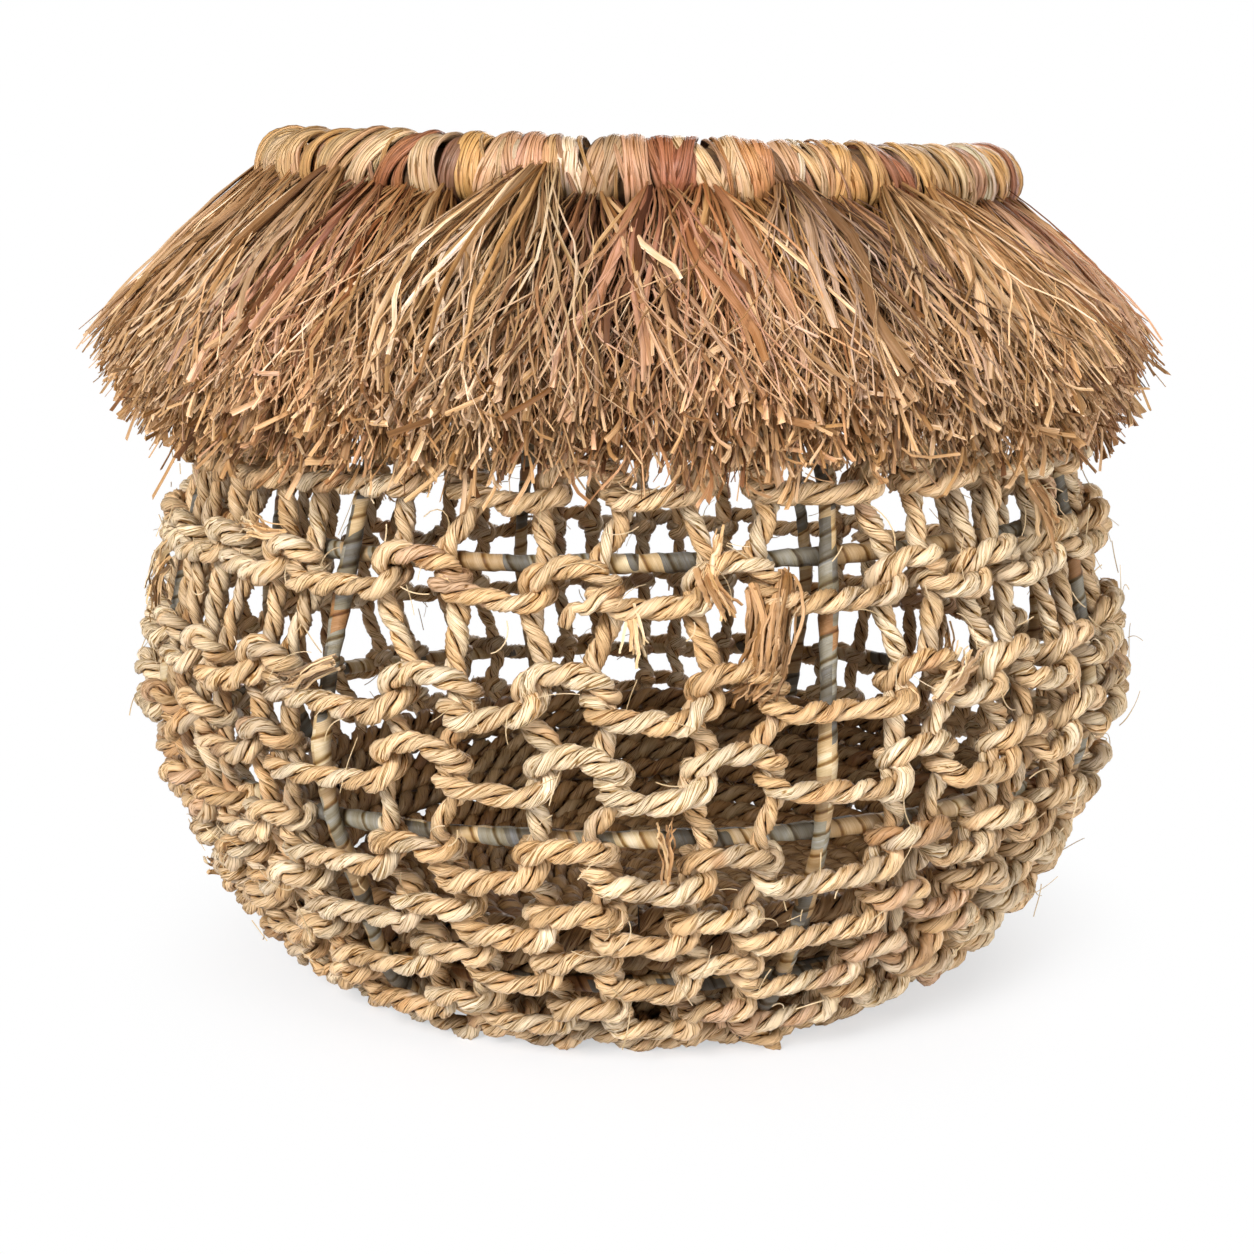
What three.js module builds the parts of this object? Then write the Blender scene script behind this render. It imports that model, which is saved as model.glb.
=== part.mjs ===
import * as THREE from 'three';

// Open abaca rope basket in millimetres, +Z up. The origin is on the floor under the middle
// of the base and the front looks towards -Y. Angles run round the basket from the front.

// Driving sizes
const HEIGHT = 388;
const BELLY_DIAMETER = 480;
const BELLY_HEIGHT = 145;
const SHOULDER_DIAMETER = 434;
const SHOULDER_HEIGHT = 250;
const FLANK_DIAMETER = 416;
const FLANK_HEIGHT = 56;
const BASE_DIAMETER = 306;
const RIM_DIAMETER = 324;
const RIM_CORE_DIAMETER = 22;

// Cords, wires and strips
const NET_ROPE = 11;
const UPRIGHT_ROPE = 10;
const WRAPPED_WIRE = 8;
const STRIP_WIDTH = 13.5;
const STRIP_THICKNESS = 2.6;
const ROPE_SIDES = 4;
const WIRE_SIDES = 6;

// Clearances between pieces that rest on each other
const SEAT_GAP = 0.4;
const NET_GAP = 0.6;
const WRAP_GAP = 0.6;
const TURN_GAP = 1.2;

// Wire frame: where the eight ribs stand, and the heights of the three hoops
const RIB_ANGLES = [-35, 20, 65, 108, 154, 198, 243, 287];
const RIB_FOOT_HEIGHT = 24;
const BASE_HOOP_HEIGHT = 30;
const LOWER_HOOP_HEIGHT = 112;
const UPPER_HOOP_HEIGHT = 229;

// Rope net: three pairs of uprights in each bay between two ribs, and the rows' places
// along the side, as shares of its length from the base to the rim
const PAIR_PLACES = [0.215, 0.515, 0.815];
const PAIR_SPREAD = 0.14;
const LOOP_DEPTH = 9;
const LOOP_CORNER = 0.25;
const ROW_PLACES = [0.065, 0.142, 0.219, 0.309, 0.411, 0.484, 0.6, 0.704, 0.807, 0.9];
const WAVE_HEIGHT = 13;
const WAVE_FLAT = 0.3;

// Fringe of tufts under the rim
const TUFT_COUNT = 24;
const TUFT_HEAD = 10;
const TUFT_HANG = -30;
const TUFT_NECK_SHARE = 0.86;
const TUFT_FIRST_ANGLE = 3;
const FRINGE_DIAMETER = 504;
const FRINGE_TOP_TIP_HEIGHT = 297;
const FRINGE_LOW_TIP_HEIGHT = 254;
const TUFT_SIDE_GAP = 0.8;
const TUFT_NET_GAP = 1.5;
const PLEAT_DEPTH = 1.6;
const TIP_RAGGEDNESS = 7;

// How finely the long forms are stepped
const SIDE_STEPS = 8;
const MAT_STEPS_PER_TURN = 20;
const STRIP_STEPS = 6;
const CORE_STEPS = 48;
const HOOP_STEPS = 36;
const SHARPEST_BEND = 0.6;

const COLOURS = {
  netRope: 0xc9a878,
  uprightRope: 0xc2a070,
  matRope: 0xbb9868,
  wrappedWire: 0x9c8f7b,
  rimCore: 0xa58861,
  rimStrip: 0xc79a66,
  tufts: [0xc3a172, 0xb58a5a, 0xae7f52, 0x9c866b],
};

function fibre(colour, roughness) {
  return new THREE.MeshStandardMaterial({ color: colour, roughness, metalness: 0, flatShading: true });
}

function named(name, geometry, material) {
  const mesh = new THREE.Mesh(geometry, material);
  mesh.name = name;
  return mesh;
}

function around(radius, angle, height) {
  const turn = THREE.MathUtils.degToRad(angle);
  return new THREE.Vector3(radius * Math.sin(turn), -radius * Math.cos(turn), height);
}

// Half thickness of a faceted cord whose section has the area of the round one
function flatHalf(diameter, sides) {
  return diameter / 2 * Math.sqrt(Math.PI / (sides * Math.tan(Math.PI / sides)));
}

// Section of a faceted cord, as [outward, sideways] corners, with a flat facing outwards
function cordSection(diameter, sides) {
  const corner = flatHalf(diameter, sides) / Math.cos(Math.PI / sides);
  return Array.from({ length: sides }, (_, k) => {
    const turn = (k + 0.5) * 2 * Math.PI / sides;
    return [corner * Math.cos(turn), corner * Math.sin(turn)];
  });
}

// Sideways and outward axes of a section at one path point, and the widening of its mitre.
// A strip that is folded over straight edges brings its own sideways axis.
function sectionAxes(before, { place, outward, across }, after) {
  if (across) {
    return { normal: outward, sideways: across, mitre: 1 };
  }
  const incoming = place.clone().sub(before.place).normalize();
  const leaving = after.place.clone().sub(place).normalize();
  const along = incoming.clone().add(leaving).normalize();
  const sideways = along.clone().cross(outward).normalize();
  const normal = sideways.clone().cross(along);
  const halfBend = Math.abs(incoming.dot(sideways));
  return { normal, sideways, mitre: 1 / Math.sqrt(1 - Math.min(halfBend, SHARPEST_BEND) ** 2) };
}

// Runs a section along a path. Each path point carries its place and its outward direction.
function sweep(path, section, closed) {
  const count = path.length;
  const sides = section.length;
  const positions = [];
  for (let i = 0; i < count; i += 1) {
    const before = closed ? path[(i + count - 1) % count] : path[Math.max(i - 1, 0)];
    const after = closed ? path[(i + 1) % count] : path[Math.min(i + 1, count - 1)];
    const { normal, sideways, mitre } = sectionAxes(before, path[i], after);
    for (const [out, side] of section) {
      const corner = path[i].place.clone();
      corner.addScaledVector(normal, out).addScaledVector(sideways, side * mitre);
      positions.push(corner.x, corner.y, corner.z);
    }
  }
  const index = [];
  for (let i = 0; i < (closed ? count : count - 1); i += 1) {
    for (let k = 0; k < sides; k += 1) {
      const a = i * sides + k;
      const b = i * sides + (k + 1) % sides;
      const c = (i + 1) % count * sides + k;
      const d = (i + 1) % count * sides + (k + 1) % sides;
      index.push(a, b, c, b, d, c);
    }
  }
  if (!closed) {
    const last = (count - 1) * sides;
    for (let k = 1; k < sides - 1; k += 1) {
      index.push(0, k + 1, k, last, last + k, last + k + 1);
    }
  }
  const geometry = new THREE.BufferGeometry();
  geometry.setAttribute('position', new THREE.Float32BufferAttribute(positions, 3));
  geometry.setIndex(index);
  geometry.computeVertexNormals();
  return geometry;
}

// How far the layers lie from the middle of the uprights, which stand on the side line
const uprightHalf = flatHalf(UPRIGHT_ROPE, ROPE_SIDES);
const netHalf = flatHalf(NET_ROPE, ROPE_SIDES);
const wireHalf = WRAPPED_WIRE / 2;
const ribHalf = flatHalf(WRAPPED_WIRE, WIRE_SIDES);
const netOffset = uprightHalf + NET_GAP + netHalf;
const netReach = netOffset + netHalf;
const hoopOffset = -(uprightHalf + SEAT_GAP + wireHalf);
const ribOffset = hoopOffset + wireHalf + SEAT_GAP + ribHalf;

const coreCorner = RIM_CORE_DIAMETER / 2;
const stripInner = coreCorner + WRAP_GAP;
const rimReach = stripInner + STRIP_THICKNESS;
const rimHeight = HEIGHT - rimReach;
const matHeight = netHalf;
const matTop = 2 * netHalf;

// The side line, from where the uprights turn over the edge of the base to under the rim
const sideBottom = matTop + SEAT_GAP + uprightHalf * Math.SQRT2;
const sideTop = rimHeight - rimReach - SEAT_GAP - uprightHalf;
const sideCurve = new THREE.CatmullRomCurve3([
  new THREE.Vector3(BASE_DIAMETER / 2, 0, sideBottom),
  new THREE.Vector3(FLANK_DIAMETER / 2 - netReach, 0, FLANK_HEIGHT),
  new THREE.Vector3(BELLY_DIAMETER / 2 - netReach, 0, BELLY_HEIGHT),
  new THREE.Vector3(SHOULDER_DIAMETER / 2 - netReach, 0, SHOULDER_HEIGHT),
  new THREE.Vector3(RIM_DIAMETER / 2, 0, sideTop),
], false, 'centripetal');
const stations = sideCurve.getSpacedPoints(SIDE_STEPS);
const stationRuns = [0];
for (let i = 1; i < stations.length; i += 1) {
  stationRuns.push(stationRuns[i - 1] + stations[i].distanceTo(stations[i - 1]));
}
const sideLength = stationRuns[SIDE_STEPS];

// Point of the side line at a run from its foot, moved outwards, with the outward slope
function sideAt(run, offset) {
  let i = 1;
  while (i < SIDE_STEPS && stationRuns[i] < run) {
    i += 1;
  }
  const low = stations[i - 1];
  const high = stations[i];
  const share = (run - stationRuns[i - 1]) / (stationRuns[i] - stationRuns[i - 1]);
  const slope = high.clone().sub(low).normalize();
  return {
    radius: THREE.MathUtils.lerp(low.x, high.x, share) + offset * slope.z,
    height: THREE.MathUtils.lerp(low.z, high.z, share) - offset * slope.x,
    lean: Math.atan2(-slope.x, slope.z),
  };
}

function runAtHeight(height) {
  let i = 1;
  while (i < SIDE_STEPS && stations[i].z < height) {
    i += 1;
  }
  const share = (height - stations[i - 1].z) / (stations[i].z - stations[i - 1].z);
  return THREE.MathUtils.lerp(stationRuns[i - 1], stationRuns[i], share);
}

function sidePoint(run, angle, offset) {
  const { radius, height, lean } = sideAt(run, offset);
  return {
    place: around(radius, angle, height),
    outward: around(Math.cos(lean), angle, Math.sin(lean)),
  };
}

// Bays between the ribs, each with its three pairs of uprights
const bays = RIB_ANGLES.map((start, i) => {
  const next = RIB_ANGLES[(i + 1) % RIB_ANGLES.length];
  const width = (next - start + 360) % 360;
  const pairs = PAIR_PLACES.map((place) => start + place * width);
  return { start, width, pairs, halfSpread: PAIR_SPREAD * width / 2 };
});

// Rim: a round core, wound with leaf-sheath strip that leaves room for each rib below
function rimCore() {
  const hexagon = Array.from({ length: 7 }, (_, k) => {
    const turn = (k + 0.5) * Math.PI / 3;
    return new THREE.Vector2(RIM_DIAMETER / 2 + coreCorner * Math.cos(turn), coreCorner * Math.sin(turn));
  });
  const geometry = new THREE.LatheGeometry(hexagon, CORE_STEPS);
  geometry.rotateX(Math.PI / 2);
  geometry.translate(0, 0, rimHeight);
  return named('rim_core', geometry, fibre(COLOURS.rimCore, 0.9));
}

function stripTurnAngles() {
  const innerRadius = RIM_DIAMETER / 2 - rimReach;
  const angles = [];
  for (const { start, width } of bays) {
    const innerRun = THREE.MathUtils.degToRad(width) * innerRadius;
    const places = Math.floor(innerRun / (STRIP_WIDTH + TURN_GAP));
    for (let k = 1; k < places; k += 1) {
      angles.push(start + width * k / places);
    }
  }
  return angles;
}

function rimWrapPath() {
  const angles = stripTurnAngles();
  const path = [];
  for (let turn = 0; turn < angles.length; turn += 1) {
    const from = angles[turn];
    const to = turn + 1 < angles.length ? angles[turn + 1] : angles[0] + 360;
    for (let step = 0; step < STRIP_STEPS; step += 1) {
      const angle = THREE.MathUtils.lerp(from, to, step / STRIP_STEPS);
      const round = -Math.PI / 2 - step * 2 * Math.PI / STRIP_STEPS;
      const outward = around(Math.cos(round), angle, Math.sin(round));
      const place = around(RIM_DIAMETER / 2, angle, rimHeight).addScaledVector(outward, stripInner);
      path.push({ place, outward, across: around(-1, angle + 90, 0) });
    }
  }
  return path;
}

function rimWrap(path) {
  const half = STRIP_WIDTH / 2;
  const section = [[0, -half], [STRIP_THICKNESS, 0], [0, half]];
  return named('rim_wrap', sweep(path, section, true), fibre(COLOURS.rimStrip, 0.55));
}

// Wire frame: three hoops inside, eight bowed ribs outside them, up to the rim core
function hoop(name, height) {
  const { radius, height: level } = sideAt(runAtHeight(height), hoopOffset);
  const geometry = new THREE.TorusGeometry(radius, wireHalf, WIRE_SIDES, HOOP_STEPS);
  geometry.translate(0, 0, level);
  return named(name, geometry, fibre(COLOURS.wrappedWire, 0.7));
}

function rib(name, angle) {
  const foot = runAtHeight(RIB_FOOT_HEIGHT);
  const path = [sidePoint(foot, angle, ribOffset)];
  for (const run of stationRuns.slice(1, -1)) {
    if (run > foot + WRAPPED_WIRE) {
      path.push(sidePoint(run, angle, ribOffset));
    }
  }
  const last = path[path.length - 1];
  const centre = around(RIM_DIAMETER / 2, angle, rimHeight);
  const back = last.place.clone().sub(centre).normalize();
  const place = centre.addScaledVector(back, coreCorner + SEAT_GAP);
  path.push({ place, outward: last.outward });
  const geometry = sweep(path, cordSection(WRAPPED_WIRE, WIRE_SIDES), false);
  return named(name, geometry, fibre(COLOURS.wrappedWire, 0.7));
}

// Uprights: in each bay one rope runs up and down six times, looped at the rim and the base
function uprightRope(name, { pairs, halfSpread }) {
  const legs = pairs.flatMap((middle) => [middle - halfSpread, middle + halfSpread]);
  const inner = stationRuns.slice(1, -1);
  const path = [];
  legs.forEach((angle, leg) => {
    const rising = leg % 2 === 0;
    const open = leg === 0 || leg === legs.length - 1;
    const runs = [open ? 0 : LOOP_DEPTH, ...inner, sideLength - LOOP_DEPTH];
    for (const run of rising ? runs : runs.reverse()) {
      path.push(sidePoint(run, angle, 0));
    }
    if (leg < legs.length - 1) {
      const reach = (legs[leg + 1] - angle) * LOOP_CORNER;
      const level = rising ? sideLength : 0;
      path.push(sidePoint(level, angle + reach, 0));
      path.push(sidePoint(level, legs[leg + 1] - reach, 0));
    }
  });
  const geometry = sweep(path, cordSection(UPRIGHT_ROPE, ROPE_SIDES), false);
  return named(name, geometry, fibre(COLOURS.uprightRope, 0.85));
}

// How far the side stands out beyond a straight line between two runs, where it bends there
function bulge(lowRun, highRun) {
  const low = sideAt(lowRun, 0);
  const high = sideAt(highRun, 0);
  const tall = Math.hypot(high.radius - low.radius, high.height - low.height);
  let most = 0;
  stations.forEach((station, i) => {
    if (stationRuns[i] > lowRun && stationRuns[i] < highRun) {
      const across = (station.x - low.radius) * (high.height - low.height);
      const up = (station.z - low.height) * (high.radius - low.radius);
      most = Math.max(most, (across - up) / tall);
    }
  });
  return most;
}

// How far a row has to stand off so that its slanting stretches pass over a bend in the side
function rowLift(run) {
  const half = WAVE_HEIGHT / 2;
  const bends = stationRuns.slice(1, -1).filter((bend) => Math.abs(bend - run) < half + netHalf);
  return Math.max(0, ...bends.map((bend) => bulge(bend - half, bend + half)));
}

// Net rows: a rope all round that waves over each pair of uprights and under the gap between
function netRow(name, rowPlace) {
  const middles = bays.flatMap(({ pairs }) => pairs);
  const run = rowPlace * sideLength;
  const offset = netOffset + rowLift(run);
  const path = [];
  middles.forEach((crest, i) => {
    const previous = i === 0 ? middles[middles.length - 1] - 360 : middles[i - 1];
    const next = i === middles.length - 1 ? middles[0] + 360 : middles[i + 1];
    const before = (crest - previous) / 2;
    const after = (next - crest) / 2;
    const corners = [
      [crest - before * (1 - WAVE_FLAT), -1],
      [crest - before * WAVE_FLAT, 1],
      [crest + after * WAVE_FLAT, 1],
      [crest + after * (1 - WAVE_FLAT), -1],
    ];
    for (const [angle, level] of corners) {
      path.push(sidePoint(run + level * WAVE_HEIGHT / 2, angle, offset));
    }
  });
  const geometry = sweep(path, cordSection(NET_ROPE, ROPE_SIDES), true);
  return named(name, geometry, fibre(COLOURS.netRope, 0.85));
}

// Base: one rope coiled flat from the middle out to the foot of the uprights
const matPitch = NET_ROPE + SEAT_GAP;

function baseMatPath() {
  const outer = BASE_DIAMETER / 2;
  const inner = NET_ROPE;
  const turns = (outer - inner) / matPitch;
  const steps = Math.round(turns * MAT_STEPS_PER_TURN);
  const up = new THREE.Vector3(0, 0, 1);
  return Array.from({ length: steps + 1 }, (_, i) => {
    const radius = outer - matPitch * i / MAT_STEPS_PER_TURN;
    return { place: around(radius, i * 360 / MAT_STEPS_PER_TURN, matHeight), outward: up };
  });
}

function baseMat(path) {
  const geometry = sweep(path, cordSection(NET_ROPE, ROPE_SIDES), false);
  return named('base_mat', geometry, fibre(COLOURS.matRope, 0.85));
}

// Tufts: a bundle of strips tied under the rim, which opens into a pleated, ragged wedge
function tuft(name, middle, material) {
  const half = TUFT_HEAD / 2;
  const corner = half * Math.SQRT1_2;
  const hang = THREE.MathUtils.degToRad(TUFT_HANG);
  const headReach = rimReach + SEAT_GAP + half;
  const head = {
    radius: RIM_DIAMETER / 2 + headReach * Math.cos(hang),
    height: rimHeight + headReach * Math.sin(hang),
  };
  const tipRun = runAtHeight(FRINGE_LOW_TIP_HEIGHT);
  const neckRun = runAtHeight((head.height + FRINGE_TOP_TIP_HEIGHT) / 2);
  const clear = netReach + TUFT_NET_GAP + bulge(tipRun, neckRun);
  const lowTip = sideAt(tipRun, clear);
  const lowNeck = sideAt(neckRun, clear);
  const topTip = { radius: FRINGE_DIAMETER / 2, height: FRINGE_TOP_TIP_HEIGHT };
  const topNeck = {
    radius: (head.radius + half + topTip.radius) / 2,
    height: (head.height + half + topTip.height) / 2,
  };
  const fullHalf = 180 / TUFT_COUNT;
  const headHalf = THREE.MathUtils.radToDeg(half / head.radius);
  const sideGap = THREE.MathUtils.radToDeg(TUFT_SIDE_GAP / topTip.radius);
  const rings = [
    { top: { radius: head.radius + corner, height: head.height + corner },
      low: { radius: head.radius - corner, height: head.height - corner },
      width: headHalf, ragged: 0 },
    { top: topNeck, low: lowNeck, width: fullHalf * TUFT_NECK_SHARE, ragged: 0 },
    { top: topTip, low: lowTip, width: fullHalf - sideGap, ragged: TIP_RAGGEDNESS },
  ];
  const positions = [];
  for (const { top, low, width, ragged } of rings) {
    const tall = Math.hypot(top.radius - low.radius, top.height - low.height);
    const upR = (top.radius - low.radius) / tall;
    const upZ = (top.height - low.height) / tall;
    const pleat = width > headHalf ? PLEAT_DEPTH : 0;
    const corners = [];
    for (let k = 0; k < 4; k += 1) {
      const sign = k % 2 === 0 ? 1 : -1;
      corners.push([top, -pleat * (1 + sign) / 2, width * (1 - 2 * k / 3), -ragged * (1 - sign) / 2]);
    }
    for (let k = 0; k < 4; k += 1) {
      const sign = k % 2 === 0 ? -1 : 1;
      corners.push([low, pleat * (1 + sign) / 2, width * (2 * k / 3 - 1), -ragged * (1 + sign) / 2]);
    }
    for (const [edge, lift, turn, pull] of corners) {
      const radius = edge.radius + lift * upR + pull * upZ;
      const height = edge.height + lift * upZ - pull * upR;
      const point = around(radius, middle + turn, height);
      positions.push(point.x, point.y, point.z);
    }
  }
  const ends = rings.length - 1;
  const index = [];
  for (let ring = 0; ring < ends; ring += 1) {
    for (let k = 0; k < 8; k += 1) {
      const a = ring * 8 + k;
      const b = ring * 8 + (k + 1) % 8;
      index.push(a, b, a + 8, b, b + 8, a + 8);
    }
  }
  for (let k = 0; k < 3; k += 1) {
    const last = ends * 8;
    index.push(k, 7 - k - 1, k + 1, k, 7 - k, 7 - k - 1);
    index.push(last + k, last + k + 1, last + 7 - k - 1, last + k, last + 7 - k - 1, last + 7 - k);
  }
  const geometry = new THREE.BufferGeometry();
  geometry.setAttribute('position', new THREE.Float32BufferAttribute(positions, 3));
  geometry.setIndex(index);
  geometry.computeVertexNormals();
  return named(name, geometry, material);
}

// Least gap between the turns of a winding, from its path and its width across them
function leastGap(path, width, stepsPerTurn) {
  let least = Infinity;
  for (let i = 0; i < path.length; i += 1) {
    for (let j = i + stepsPerTurn - 2; j < Math.min(i + stepsPerTurn + 3, path.length); j += 1) {
      least = Math.min(least, path[i].place.distanceTo(path[j].place) - width);
    }
  }
  return least;
}

const basket = new THREE.Group();
const matPath = baseMatPath();
const wrapPath = rimWrapPath();
console.log(`base mat: least gap ${leastGap(matPath, 2 * netHalf, MAT_STEPS_PER_TURN).toFixed(2)} mm`);
console.log(`rim wrap: least gap ${leastGap(wrapPath, STRIP_WIDTH, STRIP_STEPS).toFixed(2)} mm`);

basket.add(rimCore(), rimWrap(wrapPath));
basket.add(hoop('upper_hoop', UPPER_HOOP_HEIGHT));
basket.add(hoop('lower_hoop', LOWER_HOOP_HEIGHT));
basket.add(hoop('base_hoop', BASE_HOOP_HEIGHT));
RIB_ANGLES.forEach((angle, i) => basket.add(rib(`rib_${i + 1}`, angle)));
bays.forEach((bay, i) => basket.add(uprightRope(`upright_rope_${i + 1}`, bay)));
ROW_PLACES.forEach((place, i) => {
  basket.add(netRow(`net_row_${String(i + 1).padStart(2, '0')}`, place));
});
basket.add(baseMat(matPath));
for (let i = 0; i < TUFT_COUNT; i += 1) {
  const material = fibre(COLOURS.tufts[i % COLOURS.tufts.length], 0.9);
  const angle = TUFT_FIRST_ANGLE + i * 360 / TUFT_COUNT;
  basket.add(tuft(`tuft_${String(i + 1).padStart(2, '0')}`, angle, material));
}

export default basket;
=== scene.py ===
import math

import bpy
import numpy as np
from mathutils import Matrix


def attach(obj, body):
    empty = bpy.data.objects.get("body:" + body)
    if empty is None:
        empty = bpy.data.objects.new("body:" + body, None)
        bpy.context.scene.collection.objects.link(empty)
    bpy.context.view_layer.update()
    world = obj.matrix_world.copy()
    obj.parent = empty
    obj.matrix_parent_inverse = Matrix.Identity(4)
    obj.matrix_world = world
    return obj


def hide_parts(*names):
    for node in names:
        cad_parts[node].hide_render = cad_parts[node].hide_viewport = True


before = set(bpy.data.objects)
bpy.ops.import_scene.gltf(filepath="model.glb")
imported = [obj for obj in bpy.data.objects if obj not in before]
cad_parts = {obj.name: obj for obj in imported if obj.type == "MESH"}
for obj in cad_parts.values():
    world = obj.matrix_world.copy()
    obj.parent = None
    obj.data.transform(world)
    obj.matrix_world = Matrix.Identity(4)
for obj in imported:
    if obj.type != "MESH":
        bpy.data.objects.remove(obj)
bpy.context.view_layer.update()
rng = np.random.default_rng(23)

# Camera: stands in front of the basket, as high as its rim, and looks down at the net.
# Its small sideways shift puts the basket just right of the middle, as in the photograph.
CAMERA_PLACE = (0, -0.944, 0.378)
LOOK_DOWN = 13.33
bpy.ops.object.camera_add(location=CAMERA_PLACE, rotation=(math.radians(90 - LOOK_DOWN), 0, 0))
camera = bpy.context.object
camera.data.lens = 55.98
camera.data.sensor_width = 36
camera.data.shift_x = -0.0094
bpy.context.scene.camera = camera

# Wire frame: three hoops and eight bowed ribs of steel wire, each wound round and round with
# a strip of bark in tan, cream and grey. The hoops are tied inside the ribs, and at the back
# the two lower ones run within rows of the net.
LEFT_BELLY = 0.0050
LEFT_FOOT = 0.0120
BELLY_TOP = 0.29
FOOT_FADE = 0.04
SOFTENING = 21
# Heights up the basket's side, each with the radius there.
WALL = np.array([(0, 0.1475), (0.012, 0.1545), (0.030, 0.1775), (0.055, 0.1940), (0.085, 0.2070),
                 (0.115, 0.2205), (0.145, 0.2250), (0.175, 0.2200), (0.210, 0.2120),
                 (0.250, 0.2030), (0.300, 0.1850), (0.355, 0.1630), (0.380, 0.1600)])
wall_heights = np.linspace(0, WALL[-1, 0], 381)
softening = np.hanning(SOFTENING)
softening /= softening.sum()
wall_radii = np.pad(np.interp(wall_heights, *WALL.T), SOFTENING // 2, "reflect", reflect_type="odd")
wall_radii = np.convolve(wall_radii, softening, "valid")
wall_slopes = np.gradient(wall_radii, wall_heights)


def around(radius, angle, height):
    """Points round the basket's axis. Angles are in degrees, 0 at the front and 90 at the right."""
    turn = np.radians(angle)
    return np.stack([radius * np.sin(turn), -radius * np.cos(turn), height + 0 * turn], -1)


def on_wall(angle, height, outward):
    """Points on the basket's side, moved outwards square to it, and the way up the side there.
    At the left the net bellies out a little more and stands on a wider foot."""
    slope = np.interp(height, wall_heights, wall_slopes)
    lean = np.sqrt(1 + slope ** 2)
    left = -np.sin(np.radians(angle)).clip(-1, 0)
    belly = (LEFT_BELLY * left ** 2 * np.sin(np.pi * height / BELLY_TOP).clip(0)
             + LEFT_FOOT * left * np.exp(-height / FOOT_FADE))
    radius = np.interp(height, wall_heights, wall_radii) + outward / lean + belly
    return around(radius, angle, height - outward * slope / lean), around(slope, angle, 1 + 0 * slope)


def backness(angle):
    """0 at the front of the basket and 1 at its back."""
    return (1 - np.cos(np.radians(angle))) / 2


SPAN_POINTS = 12


def flow(points, step, closed):
    """A smooth line through the points, with a point every step metres by its first three columns,
    and its length."""
    if closed:
        knots = np.concatenate([points[-1:], points, points[:2]])
    else:
        knots = np.concatenate([2 * points[:1] - points[1:2], points, 2 * points[-1:] - points[-2:-1]])
    share = np.linspace(0, 1, SPAN_POINTS, endpoint=False)[:, None, None]
    a, b, c, d = knots[:-3], knots[1:-2], knots[2:-1], knots[3:]
    dense = (2 * b + (c - a) * share + (2 * a - 5 * b + 4 * c - d) * share ** 2
             + (3 * b - a - 3 * c + d) * share ** 3) / 2
    dense = dense.transpose(1, 0, 2).reshape(-1, points.shape[1])
    dense = np.concatenate([dense, points[:1] if closed else points[-1:]])
    run = np.concatenate([[0], np.cumsum(np.linalg.norm(np.diff(dense[:, :3], axis=0), axis=1))])
    count = max(4, round(run[-1] / step))
    places = np.linspace(0, run[-1], count + 1)[:count + (not closed)]
    return np.stack([np.interp(places, run, column) for column in dense.T], -1), run[-1]


def unit(vectors):
    return vectors / np.linalg.norm(vectors, axis=-1, keepdims=True)


def cord_axes(line, upright, closed):
    """Two axes square to a line: the one nearest to the given upright, and the one beside it."""
    if closed:
        along = unit(np.roll(line, -1, 0) - np.roll(line, 1, 0))
    else:
        along = unit(np.gradient(line, axis=0))
    first = unit(upright - (upright * along).sum(-1, keepdims=True) * along)
    return first, np.cross(first, along)


MAP_SHIFT = 7.0


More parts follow.
